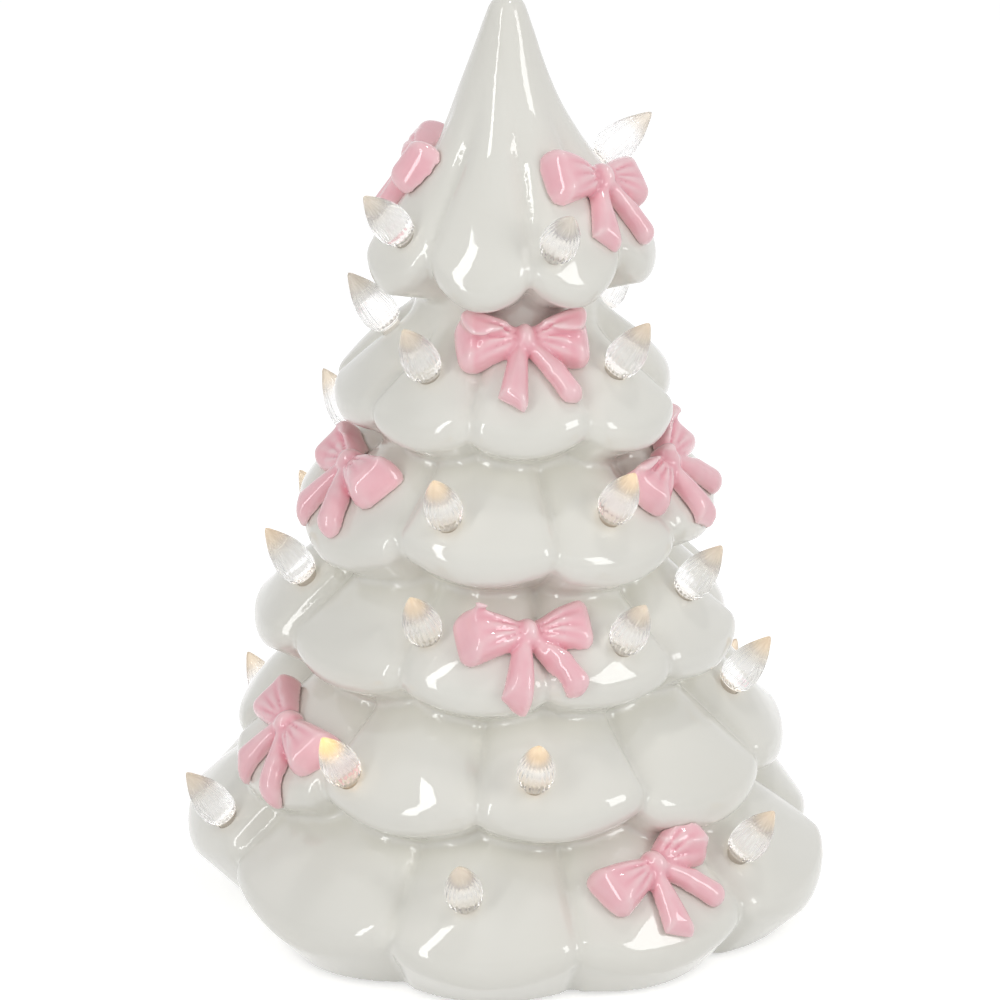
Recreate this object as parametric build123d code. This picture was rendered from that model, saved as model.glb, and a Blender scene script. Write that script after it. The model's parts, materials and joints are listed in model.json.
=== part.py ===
from build123d import *
from math import acos, asin, atan2, cos, hypot, radians, sin, tan
import os

import numpy as np

# Ceramic christmas tree, lit by battery lamps. Millimetres, +Z up, front towards -Y.
# The origin is the middle of the foot, on the table.
# A bearing is an angle round the tree: 0 at the front, positive to the viewer's right.

# Ceramic body
WALL = 5.0
HOLLOW_SPREAD = 3
HOLLOW_TIP_RADIUS = 2.0
GLAZE_BLEND = 0.55
APEX_HEIGHT = 217.8
APEX_RADIUS = 4.5
APEX_HALF_ANGLE = 19.2
APEX_FLAT = 0.06
TIP_LENGTH = 30.8
CORE_HALF_ANGLE = 9.5
BOUGH_EDGE_RADIUS = 4.4
BOUGH_DEPTH = 26.0
BOUGH_OVERLAP = 0.9
SECTION_POINTS = 100
SECTION_GAP = 1.5
SURFACE_SEARCH_STEPS = 60
NORMAL_STEP = 0.4
SEAT_CLEARANCE = 0.6
LIP_CLEARANCE = 0.45
SEAT_SAMPLES = 25

# Each tier of boughs: tip radius, tip height, length from the tip to the crest, rise of a bough's axis,
# height of its domed crest, undercut of its lip, roundness of its lip, and the bearings of the boughs
TIERS = (
    (33.8, 156.5, 13.5, 36.0, 2.4, 22.0, 0.055, (-58, -11, 31, 77, 123, 167, 212, 264)),
    (40.0, 124.0, 17.0, 52.0, 3.4, 26.0, 0.026, (-73, -33, 7, 52, 92, 130, 169, 208, 248)),
    (48.0, 96.5, 20.0, 52.0, 4.4, 26.0, 0.020, (-100, -58, -6, 35, 76, 114, 154, 194, 228)),
    (55.0, 68.0, 20.5, 52.0, 4.6, 26.0, 0.018, (-85, -47, -7, 27, 62, 98, 133, 169, 204, 240)),
    (63.5, 40.5, 21.5, 52.0, 5.2, 26.0, 0.017, (-98, -62, -24, 11, 51, 86, 121, 156, 191, 227)),
    (75.0, 15.0, 22.5, 52.0, 5.6, 6.0, 0.015, (-84, -39, -4, 30, 66, 105, 138, 171, 206, 240)),
)
# The boughs are made by hand and differ: extra tip radius and tip height, by tier and bough
UNEVEN = {
    (0, 7): (-3.0, 0.0),
    (1, 3): (1.5, -2.0),
    (1, 4): (-2.5, 2.0),
    (2, 1): (1.0, -2.5),
    (2, 3): (0.0, -2.5),
    (3, 0): (4.0, 0.0),
    (3, 5): (-4.0, 0.0),
    (4, 1): (2.0, -3.0),
    (4, 4): (1.0, -4.0),
    (4, 5): (1.5, -2.5),
    (5, 0): (0.5, 1.5),
    (5, 1): (0.0, -3.0),
    (5, 2): (0.0, -5.0),
    (5, 3): (0.0, -5.0),
    (5, 4): (1.5, -5.0),
    (5, 5): (-3.5, -1.0),
    (5, 7): (0.0, -3.0),
    (5, 8): (0.0, -3.0),
}
# Heights of a tier's cross sections above its tip, and of the tip cone's below the apex
TIER_SECTIONS = (-9.5, -6.5, -3.5, 0.0, 4.5, 11.0)
APEX_SECTIONS = (46.5, 42.5, 38.5, 34.5, 30.0, 15.0, 5.0, 2.2, 0.7)

# Bulbs: a peg in a hole of the wall, and a fluted flame above it
PEG_RADIUS = 2.5
PEG_LENGTH = 8.0
PEG_CLEARANCE = 0.2
BULB_SEAT = 1.1
BULB_NECK_RADIUS = 3.3
BULB_RADIUS = 4.4
BULB_SHOULDER_RADIUS = 3.1
BULB_TIP_RADIUS = 0.9
BULB_WIDEST = 5.6
BULB_SHOULDER = 11.2
BULB_LENGTH = 16.2
HOLE_DEPTH = 14.0
HOLE_RELIEF = 6.0
BOUGH_BULB_RISE = 54.0
# Bearing, height and rise of the bulbs on the crown, then bearing and height of those on the boughs below
CROWN_BULBS = ((112, 177, 37), (-50, 167, 46), (20, 166, 46), (165, 166, 46))
BOUGH_BULBS = (
    (-82, 141), (-34, 137), (50, 136), (136, 137), (215, 137),
    (-122, 107), (-18, 107), (34, 106), (150, 107), (200, 107),
    (62, 82.5), (-74, 83), (-22.5, 80), (31, 78), (132, 80), (240, 81),
    (-122, 51), (78, 55), (-36, 48), (6, 51), (160, 52), (193, 51),
    (-68, 28), (53.5, 25), (-8, 25), (134, 27), (171, 27), (234, 27),
)

# Bows: two puffed loops, a knot and two tails, stuck on a bough
BOW_KNOT_RADIUS = 3.4
BOW_ROOT = 1.2
BOW_LIFT = 0.4
BOW_HALF_WIDTH = 16.0
BOW_HALF_HEIGHT = 12.5
BOW_DROP = 5.0
BOND_RADIUS = 2.4
LOOP_REACH = 10.2
LOOP_ROOT_RADIUS = 2.2
LOOP_END_RADIUS = 4.2
LOOP_FAN = 17.0
TAIL_REACH = 11.5
TAIL_ROOT_RADIUS = 2.0
TAIL_END_RADIUS = 3.0
LEFT_TAIL_TURN = -106.0
RIGHT_TAIL_TURN = -56.0
# Bearing, height and roll of each bow
BOWS = (
    (-98, 178, 5), (62, 177, -20), (9, 143, 0), (172, 137, 5),
    (-66, 110, -3), (67, 111, 14), (5, 81, 8), (172, 80, -6),
    (-59, 52, -13), (135, 51, 15), (31, 28, 18), (205, 27, -10),
)

# Foot: pads, ceramic floor and the ledge that the base plate sits against
PAD_THICKNESS = 1.0
PAD_RADIUS = 5.0
PAD_RING_RADIUS = 54.5
PAD_BEARINGS = (-39, 33, 138, 206)
FLOOR_THICKNESS = 6.0
LEDGE_THICKNESS = 2.0
LEDGE_RADIUS = 45.0
REBATE_RADIUS = 48.0

# Base plate with its battery bay
PLATE_THICKNESS = 3.2
PLATE_CLEARANCE = 0.4
BEAD_WIDTH = 2.0
BEAD_HEIGHT = 1.5
BAY_CENTRE_Y = -6.0
BAY_WALL = 1.5
BAY_ROOF = 1.5
BAY_HEADROOM = 0.4
CELL_DIAMETER = 10.5
CELL_LENGTH = 44.5
CELL_NUB_RADIUS = 1.9
CELL_NUB_LENGTH = 1.0
CELL_COUNT = 3
CELL_SPACING = 0.5
CELL_CLEARANCE = 0.3
CONTACT_THICKNESS = 0.5
CONTACT_WIDTH = 8.0
SPRING_GAP = 3.5
SPRING_STOCK = 0.35
SPRING_WIDTH = 5.0
SPRING_TOUCH = 0.1

# Battery cover, hinged on two pins
COVER_THICKNESS = 2.2
COVER_GAP = 0.4
PIN_RADIUS = 0.6
PIN_DEPTH = 1.6
PIN_CLEARANCE = 0.15
NIB_LENGTH = 8.0
NIB_REACH = 0.2
NIB_HEIGHT = 0.8
THUMB_LENGTH = 12.0
THUMB_RADIUS = 3.0
THUMB_DEPTH = 0.9

# Slide switch
SWITCH_Y = 27.0
SWITCH_LENGTH = 10.0
SWITCH_WIDTH = 5.4
SWITCH_HEIGHT = 5.0
SWITCH_WALL = 0.8
SWITCH_CLEARANCE = 0.3
SWITCH_TRAVEL = 2.5
SLIDER_HEIGHT = 2.6
KNOB_SIDE = 2.2
KNOB_RECESS = 0.6

# Lamp board on two posts
BOARD_LENGTH = 36.0
BOARD_WIDTH = 24.0
BOARD_THICKNESS = 1.6
POST_HEIGHT = 5.0
POST_RADIUS = 2.6
POST_SPACING = 28.0
SCREW_RADIUS = 1.0
SCREW_LENGTH = 5.0
SCREW_CLEARANCE = 0.15
SCREW_HEAD_RADIUS = 2.0
SCREW_HEAD_HEIGHT = 1.4
LAMP_RADIUS = 2.5
LAMP_FLANGE_RADIUS = 2.9
LAMP_FLANGE_HEIGHT = 1.0
LAMP_BODY_HEIGHT = 5.0
LAMP_SPACING_X = 15.0
LAMP_SPACING_Y = 13.0
WIRE_RADIUS = 0.6
WIRE_SPACING = 5.0
WIRE_BEND = 4.0
WIRE_RISE = 18.0

# Heights and places worked out from the sizes above
NECK_HEIGHT = APEX_HEIGHT - TIP_LENGTH
FLOOR_TOP = PAD_THICKNESS + FLOOR_THICKNESS
PLATE_TOP = FLOOR_TOP - LEDGE_THICKNESS
PLATE_BOTTOM = PLATE_TOP - PLATE_THICKNESS
CELL_PITCH = CELL_DIAMETER + CELL_SPACING
BAY_LENGTH = CELL_LENGTH + 2 * CONTACT_THICKNESS + SPRING_GAP
BAY_WIDTH = CELL_COUNT * CELL_PITCH + CELL_SPACING
COVER_TOP = PLATE_BOTTOM + COVER_THICKNESS
CELL_HEIGHT = COVER_TOP + CELL_CLEARANCE + CELL_DIAMETER / 2
BAY_TOP = CELL_HEIGHT + CELL_DIAMETER / 2 + BAY_HEADROOM
ROOF_TOP = BAY_TOP + BAY_ROOF
BOARD_BOTTOM = ROOF_TOP + POST_HEIGHT
BOARD_TOP = BOARD_BOTTOM + BOARD_THICKNESS
HINGE_Y = BAY_CENTRE_Y - BAY_WIDTH / 2 + COVER_GAP + COVER_THICKNESS / 2
HINGE_HEIGHT = PLATE_BOTTOM + COVER_THICKNESS / 2
COVER_LENGTH = BAY_LENGTH - 2 * COVER_GAP
COVER_END_Y = BAY_CENTRE_Y + BAY_WIDTH / 2 - COVER_GAP


def bough_frames():
    """Tip, outward and sideways directions, half angles to the neighbours, and form of every bough."""
    frames = []
    for tier, (tip_r, tip_z, length, rise, crest, undercut, lip, bearings) in enumerate(TIERS):
        for place, bearing in enumerate(bearings):
            extra_r, extra_z = UNEVEN.get((tier, place), (0.0, 0.0))
            out = np.array([sin(radians(bearing)), -cos(radians(bearing)), 0.0])
            side = np.array([cos(radians(bearing)), sin(radians(bearing)), 0.0])
            before = (bearing - bearings[place - 1]) % 360 / 2
            after = (bearings[(place + 1) % len(bearings)] - bearing) % 360 / 2
            tip = (tip_r + extra_r - BOUGH_EDGE_RADIUS, tip_z + extra_z)
            halves = (tan(radians(before)), tan(radians(after)))
            form = (length - BOUGH_EDGE_RADIUS, radians(rise), crest, tan(radians(undercut)), lip)
            frames.append((tip, out, side, halves, form))
    return frames


BOUGHS = bough_frames()


def bough_distance(points, bough):
    """Distance to a bough: a pillow between its neighbours, with a domed top and a rounded lip."""
    (tip_r, tip_z), out, side, (left, right), (length, rise, crest, undercut, lip) = bough
    reach = points @ out
    across = points @ side
    half = np.where(across < 0.0, left, right)
    width = np.abs(across)
    above = (reach - tip_r) * cos(rise) + (points[:, 2] - tip_z) * sin(rise)
    uphill = (points[:, 2] - tip_z) * cos(rise) - (reach - tip_r) * sin(rise)
    to_side = (width - reach * half) / np.sqrt(1.0 + half ** 2) - BOUGH_OVERLAP + BOUGH_EDGE_RADIUS
    arch = np.clip(1.0 - (width / np.maximum(reach * half, BOUGH_EDGE_RADIUS)) ** 2, 0.0, 1.0)
    arch = arch * np.clip(1.0 - (np.maximum(length - uphill, 0.0) / (length + BOUGH_EDGE_RADIUS)) ** 2, 0.0, 1.0)
    to_top = above - crest * arch
    to_lip = lip * width ** 2 - uphill + undercut * np.maximum(-above, 0.0)
    parts = np.stack([to_top, to_lip, to_side])
    rounded = np.sqrt((np.maximum(parts, 0.0) ** 2).sum(axis=0)) - BOUGH_EDGE_RADIUS
    return np.maximum(rounded + np.minimum(parts.max(axis=0), 0.0), -(above + BOUGH_DEPTH))


def core_distance(points):
    """Distance to the plain cone that carries the boughs and ends in the rounded tip."""
    radius = np.hypot(points[:, 0], points[:, 1])
    height = points[:, 2]
    tip_half = radians(APEX_HALF_ANGLE)
    core_half = radians(CORE_HALF_ANGLE)
    ball_height = APEX_HEIGHT - APEX_RADIUS
    lift = height - ball_height
    neck_radius = (APEX_RADIUS + (ball_height - NECK_HEIGHT) * sin(tip_half)) / cos(tip_half)
    on_cone = radius * cos(tip_half) + lift * sin(tip_half) - APEX_RADIUS
    on_ball = np.hypot(radius, lift) - APEX_RADIUS
    on_tip = np.where(lift * cos(tip_half) > radius * sin(tip_half), on_ball, on_cone)
    on_trunk = (radius - neck_radius) * cos(core_half) + (height - NECK_HEIGHT) * sin(core_half)
    return np.maximum(on_tip, on_trunk)


def body_distance(points):
    """Distance to the whole body, with its creases softened by the glaze."""
    each = np.stack([core_distance(points)] + [bough_distance(points, bough) for bough in BOUGHS])
    nearest = each.min(axis=0)
    return nearest - GLAZE_BLEND * np.log(np.exp((nearest - each) / GLAZE_BLEND).sum(axis=0))


def body_sections():
    """Heights of the body's cross sections, and the radii of each one round the tree."""
    top = APEX_HEIGHT - APEX_FLAT
    heights = [tier[1] + step for tier in TIERS for step in TIER_SECTIONS]
    heights += [APEX_HEIGHT - step for step in APEX_SECTIONS]
    heights = [PAD_THICKNESS, *sorted(height for height in heights if height > PAD_THICKNESS + SECTION_GAP), top]
    turns, levels = np.meshgrid(2 * np.pi * np.arange(SECTION_POINTS) / SECTION_POINTS, heights)
    radii = np.full(turns.shape, 2.0 * max(tier[0] for tier in TIERS))
    for _ in range(SURFACE_SEARCH_STEPS):
        points = np.stack([radii * np.sin(turns), -radii * np.cos(turns), levels], axis=2)
        radii = radii - body_distance(points.reshape(-1, 3)).reshape(radii.shape)
    return np.array(heights), radii


HEIGHTS, RADII = body_sections()


def body_radius(turns, heights):
    """Radius of the body at angles round the tree and heights, between its cross sections."""
    row = np.clip(np.searchsorted(HEIGHTS, heights) - 1, 0, len(HEIGHTS) - 2)
    up = np.clip((heights - HEIGHTS[row]) / (HEIGHTS[row + 1] - HEIGHTS[row]), 0.0, 1.0)
    steps = turns * SECTION_POINTS / (2 * np.pi)
    column = np.floor(steps).astype(int)
    on = steps - column
    first = column % SECTION_POINTS
    second = (column + 1) % SECTION_POINTS
    low = RADII[row, first] * (1.0 - on) + RADII[row, second] * on
    high = RADII[row + 1, first] * (1.0 - on) + RADII[row + 1, second] * on
    return low * (1.0 - up) + high * up


def surface_point(bearing, height):
    """Point of the body's surface."""
    radius = body_radius(np.radians([bearing]), np.array([height]))[0]
    return np.array([radius * sin(radians(bearing)), -radius * cos(radians(bearing)), height])


def surface_normal(point):
    """Outward direction of the body's surface at a point."""
    ahead = body_distance(point + NORMAL_STEP * np.eye(3))
    behind = body_distance(point - NORMAL_STEP * np.eye(3))
    return Vector(*(ahead - behind)).normalized()


def clear_height(seat, half_width, half_height, drop=0.0):
    """Height above a seat at which a flat oval just clears the body."""
    grid = np.linspace(-1.0, 1.0, SEAT_SAMPLES)
    across, along = [side.ravel() for side in np.meshgrid(grid, grid)]
    inside = across ** 2 + along ** 2 <= 1.0
    right, up, out = [np.array(tuple(side)) for side in (seat.x_dir, seat.y_dir, seat.z_dir)]
    oval = np.array(tuple(seat.origin)) + np.outer(across[inside] * half_width, right)
    oval = oval + np.outer(along[inside] * half_height - drop, up)
    height = 0.0
    for _ in range(SURFACE_SEARCH_STEPS):
        points = oval + height * out
        turns = np.arctan2(points[:, 0], -points[:, 1]) % (2 * np.pi)
        gap = np.hypot(points[:, 0], points[:, 1]) - body_radius(turns, points[:, 2])
        height += max(SEAT_CLEARANCE - gap.min(), 0.0) / 2
    return height


def lofted(heights, radii):
    """Solid through level sections, each a smooth closed curve through its radii."""
    turns = 2 * np.pi * np.arange(radii.shape[1]) / radii.shape[1]
    rings = []
    for height, section in zip(heights, radii):
        points = zip(section * np.sin(turns), -section * np.cos(turns))
        rings.append(Wire([Spline(*[(x, y, height) for x, y in points], periodic=True)]))
    return Solid.make_loft(rings, ruled=True)


def spread(radii, combine):
    """Each radius combined with its neighbours round the tree."""
    shifts = range(-HOLLOW_SPREAD, HOLLOW_SPREAD + 1)
    return combine(np.stack([np.roll(radii, shift, axis=1) for shift in shifts]), axis=0)


def hollow_solid():
    """The hollow above the floor: it follows the boughs smoothly and leaves a whole wall in their creases."""
    turns = 2 * np.pi * np.arange(SECTION_POINTS) / SECTION_POINTS
    floor = body_radius(turns, np.full(SECTION_POINTS, FLOOR_TOP))
    heights = np.append(FLOOR_TOP, HEIGHTS)
    radii = spread(spread(np.vstack([floor, RADII]), np.min), np.mean) - WALL
    inside = (heights == FLOOR_TOP) | (heights > FLOOR_TOP + SECTION_GAP)
    inside = inside & (radii.min(axis=1) > HOLLOW_TIP_RADIUS)
    return lofted(heights[inside], radii[inside, ::2])


def round_body(outline):
    """Solid of revolution about Z from radius and height pairs, or arcs of three such pairs."""
    edges = []
    for start, *rest in outline:
        points = [Vector(radius, 0, height) for radius, height in (start, *rest)]
        edges.append(Line(*points) if len(points) == 2 else ThreePointArc(*points))
    return revolve(make_face(edges), Axis.Z)


def upright_cylinder(radius, low, high, x=0.0, y=0.0):
    """Cylinder about a vertical axis, between two heights."""
    return Pos(x, y, (low + high) / 2) * Cylinder(radius, high - low)


def block(length, width, low, high, x=0.0, y=0.0):
    """Box between two heights."""
    return Pos(x, y, (low + high) / 2) * Box(length, width, high - low)


def bulb_seats():
    """Plane of each bulb's seat: along the bulb's axis, where the bulb just clears the surface."""
    places = [*CROWN_BULBS, *((*place, BOUGH_BULB_RISE) for place in BOUGH_BULBS)]
    seats = []
    for bearing, height, rise in places:
        level = cos(radians(rise))
        axis = Vector(level * sin(radians(bearing)), -level * cos(radians(bearing)), sin(radians(rise)))
        right = Vector(cos(radians(bearing)), sin(radians(bearing)), 0)
        seat = Plane(origin=Vector(*surface_point(bearing, height)), x_dir=right, z_dir=axis)
        neck = clear_height(seat, BULB_NECK_RADIUS, BULB_NECK_RADIUS) - BULB_SEAT
        waist = clear_height(seat, BULB_RADIUS, BULB_RADIUS) - BULB_WIDEST
        seats.append(seat.offset(max(neck, waist, 0.0)))
    return seats


def bulb_solid():
    """One bulb, upright, with its seat at the origin."""
    foot = (0, -PEG_LENGTH)
    peg_foot = (PEG_RADIUS, -PEG_LENGTH)
    peg_top = (PEG_RADIUS, BULB_SEAT)
    neck = (BULB_NECK_RADIUS, BULB_SEAT)
    widest = (BULB_RADIUS, BULB_WIDEST)
    shoulder = (BULB_SHOULDER_RADIUS, BULB_SHOULDER)
    point = (0, BULB_LENGTH)
    ball = BULB_LENGTH - BULB_TIP_RADIUS
    drop = BULB_SHOULDER - ball
    tangent = atan2(drop, BULB_SHOULDER_RADIUS) + acos(BULB_TIP_RADIUS / hypot(BULB_SHOULDER_RADIUS, drop))

    def on_ball(turn):
        return BULB_TIP_RADIUS * cos(turn), ball + BULB_TIP_RADIUS * sin(turn)

    return round_body((
        (foot, peg_foot), (peg_foot, peg_top), (peg_top, neck), (neck, widest, shoulder),
        (shoulder, on_ball(tangent)), (on_ball(tangent), on_ball((tangent + radians(90)) / 2), point), (point, foot),
    ))


def tree_shell(seats):
    """The hollow ceramic body with its foot, its ledge and a hole for each bulb."""
    opening = upright_cylinder(LEDGE_RADIUS, 0, FLOOR_TOP + LEDGE_THICKNESS)
    rebate = upright_cylinder(REBATE_RADIUS, 0, PLATE_TOP)
    drill = Pos(0, 0, (HOLE_RELIEF - HOLE_DEPTH) / 2) * Cylinder(
        PEG_RADIUS + PEG_CLEARANCE, HOLE_DEPTH + HOLE_RELIEF
    )
    holes = [seat.location * drill for seat in seats]
    return lofted(HEIGHTS, RADII).cut(hollow_solid(), opening, rebate, *holes)


def puff(root_radius, end_radius, reach, turn):
    """Rounded cone that leaves the knot in the direction turn and swells to its end."""
    slant = asin((end_radius - root_radius) / reach)
    root_low = (0, -root_radius)
    root_side = (root_radius * cos(slant), -root_radius * sin(slant))
    lean = (radians(90) - slant) / 2
    root_middle = (root_radius * sin(lean), -root_radius * cos(lean))
    end_side = (end_radius * cos(slant), reach - end_radius * sin(slant))
    end_top = (0, reach + end_radius)
    end_middle = (end_radius * cos(lean), reach + end_radius * sin(lean))
    cone = round_body((
        (root_low, root_middle, root_side), (root_side, end_side), (end_side, end_middle, end_top),
        (end_top, root_low),
    ))
    across = Vector(cos(radians(turn)), sin(radians(turn)), 0)
    place = Plane(origin=across * BOW_ROOT + Vector(0, 0, BOW_LIFT), x_dir=(0, 0, 1), z_dir=across)
    return place.location * cone


def bow_solid():
    """One bow with a flat back, lying on the XY plane with its knot at the origin, tails towards -Y."""
    loops = [
        puff(LOOP_ROOT_RADIUS, LOOP_END_RADIUS, LOOP_REACH, side + fan)
        for side in (0, 180) for fan in (-LOOP_FAN, LOOP_FAN)
    ]
    tails = [
        puff(TAIL_ROOT_RADIUS, TAIL_END_RADIUS, TAIL_REACH, turn)
        for turn in (LEFT_TAIL_TURN, RIGHT_TAIL_TURN)
    ]
    knot = Pos(0, 0, BOW_LIFT) * Sphere(BOW_KNOT_RADIUS)
    size = 2 * (TAIL_REACH + LOOP_REACH)
    return knot.fuse(*loops, *tails).cut(block(size, size, -LOOP_REACH, 0))


def bows_in_place():
    """Each bow in its place, bonded to its bough by a pad behind the knot and clear of the lips above."""
    plain = bow_solid()
    lips = lofted(HEIGHTS, RADII + LIP_CLEARANCE)
    bows = []
    for bearing, height, roll in BOWS:
        point = surface_point(bearing, height)
        right = Vector(cos(radians(bearing)), sin(radians(bearing)), 0)
        seat = Plane(origin=Vector(*point), x_dir=right, z_dir=surface_normal(point)).rotated((0, 0, roll))
        back = clear_height(seat, BOW_HALF_WIDTH, BOW_HALF_HEIGHT, BOW_DROP)
        pad = clear_height(seat, BOND_RADIUS, BOND_RADIUS)
        bond = upright_cylinder(BOND_RADIUS, pad, back + BOW_KNOT_RADIUS / 2)
        bow = seat.location * (Pos(0, 0, back) * plain).fuse(bond)
        bows.append(bow.cut(lips).solids().sort_by(SortBy.VOLUME)[-1])
    return bows


def foot_pads():
    """Soft pads under the ceramic foot."""
    pads = []
    for bearing in PAD_BEARINGS:
        x = PAD_RING_RADIUS * sin(radians(bearing))
        y = -PAD_RING_RADIUS * cos(radians(bearing))
        pads.append(upright_cylinder(PAD_RADIUS, 0, PAD_THICKNESS, x, y))
    return Compound(pads)


def post_places():
    """Places of the two posts of the lamp board."""
    return [(side * POST_SPACING / 2, BAY_CENTRE_Y) for side in (-1, 1)]


def base_plate():
    """Plate in the foot, with the battery bay, the switch slot and the posts of the lamp board."""
    plate = upright_cylinder(REBATE_RADIUS - PLATE_CLEARANCE, PLATE_BOTTOM, PLATE_TOP)
    box = block(BAY_LENGTH + 2 * BAY_WALL, BAY_WIDTH + 2 * BAY_WALL, PLATE_BOTTOM, ROOF_TOP, 0, BAY_CENTRE_Y)
    posts = [upright_cylinder(POST_RADIUS, ROOF_TOP, BOARD_BOTTOM, x, y) for x, y in post_places()]
    bay = block(BAY_LENGTH, BAY_WIDTH, PLATE_BOTTOM, BAY_TOP, 0, BAY_CENTRE_Y)
    pin_hole = Pos(0, HINGE_Y, HINGE_HEIGHT) * Rot(0, 90, 0) * Cylinder(
        PIN_RADIUS + PIN_CLEARANCE, BAY_LENGTH + 2 * (PIN_DEPTH + PIN_CLEARANCE - COVER_GAP)
    )
    slot = block(
        KNOB_SIDE + SWITCH_TRAVEL + 2 * SWITCH_CLEARANCE, KNOB_SIDE + 2 * SWITCH_CLEARANCE,
        PLATE_BOTTOM, PLATE_TOP, 0, SWITCH_Y,
    )
    pilots = [
        upright_cylinder(SCREW_RADIUS + SCREW_CLEARANCE, BOARD_TOP - SCREW_LENGTH - SCREW_CLEARANCE, BOARD_TOP, x, y)
        for x, y in post_places()
    ]
    return plate.fuse(box, *posts).cut(bay, pin_hole, slot, *pilots)


def sealing_bead():
    """Ring of silicone in the corner between the plate and the ledge."""
    ring = upright_cylinder(LEDGE_RADIUS, PLATE_TOP, PLATE_TOP + BEAD_HEIGHT)
    return ring.cut(upright_cylinder(LEDGE_RADIUS - BEAD_WIDTH, 0, FLOOR_TOP))


def battery_cover():
    """Lid of the bay: a flat leaf with a round hinge edge, two pins, a snap nib and a thumb groove."""
    depth = COVER_END_Y - HINGE_Y
    leaf = block(COVER_LENGTH, depth, PLATE_BOTTOM, COVER_TOP, 0, HINGE_Y + depth / 2)
    hinge = Pos(0, HINGE_Y, HINGE_HEIGHT) * Rot(0, 90, 0)
    barrel = hinge * Cylinder(COVER_THICKNESS / 2, COVER_LENGTH)
    pins = hinge * Cylinder(PIN_RADIUS, COVER_LENGTH + 2 * PIN_DEPTH)
    nib = Pos(0, COVER_END_Y, HINGE_HEIGHT) * Box(NIB_LENGTH, 2 * NIB_REACH, NIB_HEIGHT)
    thumb = Pos(0, COVER_END_Y - THUMB_RADIUS, PLATE_BOTTOM + THUMB_DEPTH - THUMB_RADIUS) * Rot(0, 90, 0)
    return leaf.fuse(barrel, pins, nib).cut(thumb * Cylinder(THUMB_RADIUS, THUMB_LENGTH))


def cell_places():
    """Middle of each cell across the bay, and the way that its nub points."""
    first = BAY_CENTRE_Y - (CELL_COUNT - 1) * CELL_PITCH / 2
    return [(first + row * CELL_PITCH, 1 if row % 2 == 0 else -1) for row in range(CELL_COUNT)]


def battery_cells():
    """Three cells side by side, every second one turned round."""
    can = round_body((
        ((0, 0), (CELL_DIAMETER / 2, 0)),
        ((CELL_DIAMETER / 2, 0), (CELL_DIAMETER / 2, CELL_LENGTH - CELL_NUB_LENGTH)),
        ((CELL_DIAMETER / 2, CELL_LENGTH - CELL_NUB_LENGTH), (CELL_NUB_RADIUS, CELL_LENGTH - CELL_NUB_LENGTH)),
        ((CELL_NUB_RADIUS, CELL_LENGTH - CELL_NUB_LENGTH), (CELL_NUB_RADIUS, CELL_LENGTH)),
        ((CELL_NUB_RADIUS, CELL_LENGTH), (0, CELL_LENGTH)),
        ((0, CELL_LENGTH), (0, 0)),
    ))
    nub_end = BAY_LENGTH / 2 - CONTACT_THICKNESS
    cells = []
    for y, way in cell_places():
        lie = Plane(origin=(way * (nub_end - CELL_LENGTH), y, CELL_HEIGHT), x_dir=(0, 1, 0), z_dir=(way, 0, 0))
        cells.append(lie.location * can)
    return Compound(cells)


def contact_plates():
    """Metal strips at the ends of the bay: single ones and the ones that join two cells."""
    rows = [y for y, _ in cell_places()]
    low = CELL_HEIGHT - CONTACT_WIDTH / 2
    high = CELL_HEIGHT + CONTACT_WIDTH / 2
    end = BAY_LENGTH / 2 - CONTACT_THICKNESS / 2
    spans = ((-end, rows[0], rows[0]), (-end, rows[1], rows[2]), (end, rows[0], rows[1]), (end, rows[2], rows[2]))
    return Compound([
        block(CONTACT_THICKNESS, last - first + CONTACT_WIDTH, low, high, x, (first + last) / 2)
        for x, first, last in spans
    ])


def contact_springs():
    """Arched leaf springs behind the flat ends of the cells."""
    rise = SPRING_GAP - 2 * SPRING_TOUCH
    half = CONTACT_WIDTH / 2 - SPRING_STOCK
    outer = ThreePointArc((0, -half), (rise, 0), (0, half))
    inner = ThreePointArc((0, half - SPRING_STOCK), (rise - SPRING_STOCK, 0), (0, SPRING_STOCK - half))
    ends = [Line((0, half), (0, half - SPRING_STOCK)), Line((0, SPRING_STOCK - half), (0, -half))]
    leaf = extrude(make_face([outer, inner, *ends]), SPRING_WIDTH / 2, both=True)
    back = BAY_LENGTH / 2 - CONTACT_THICKNESS - SPRING_TOUCH
    springs = []
    for y, way in cell_places():
        stand = Plane(origin=(-way * back, y, CELL_HEIGHT), x_dir=(way, 0, 0), z_dir=(0, way, 0))
        springs.append(stand.location * leaf)
    return Compound(springs)


def switch_housing():
    """Open-bottomed can of the slide switch, on the plate."""
    can = block(SWITCH_LENGTH, SWITCH_WIDTH, PLATE_TOP, PLATE_TOP + SWITCH_HEIGHT, 0, SWITCH_Y)
    inside = block(
        SWITCH_LENGTH - 2 * SWITCH_WALL, SWITCH_WIDTH - 2 * SWITCH_WALL,
        PLATE_TOP, PLATE_TOP + SWITCH_HEIGHT - SWITCH_WALL, 0, SWITCH_Y,
    )
    return can.cut(inside)


def switch_slider():
    """Slider of the switch, at the off end of its travel, with its knob in the plate's slot."""
    off = -SWITCH_TRAVEL / 2
    length = SWITCH_LENGTH - 2 * SWITCH_WALL - SWITCH_TRAVEL - 2 * SWITCH_CLEARANCE
    width = SWITCH_WIDTH - 2 * SWITCH_WALL - 2 * SWITCH_CLEARANCE
    low = PLATE_TOP + SWITCH_CLEARANCE
    body = block(length, width, low, low + SLIDER_HEIGHT, off, SWITCH_Y)
    knob = block(KNOB_SIDE, KNOB_SIDE, PLATE_BOTTOM + KNOB_RECESS, low, off, SWITCH_Y)
    return body.fuse(knob)


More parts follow.
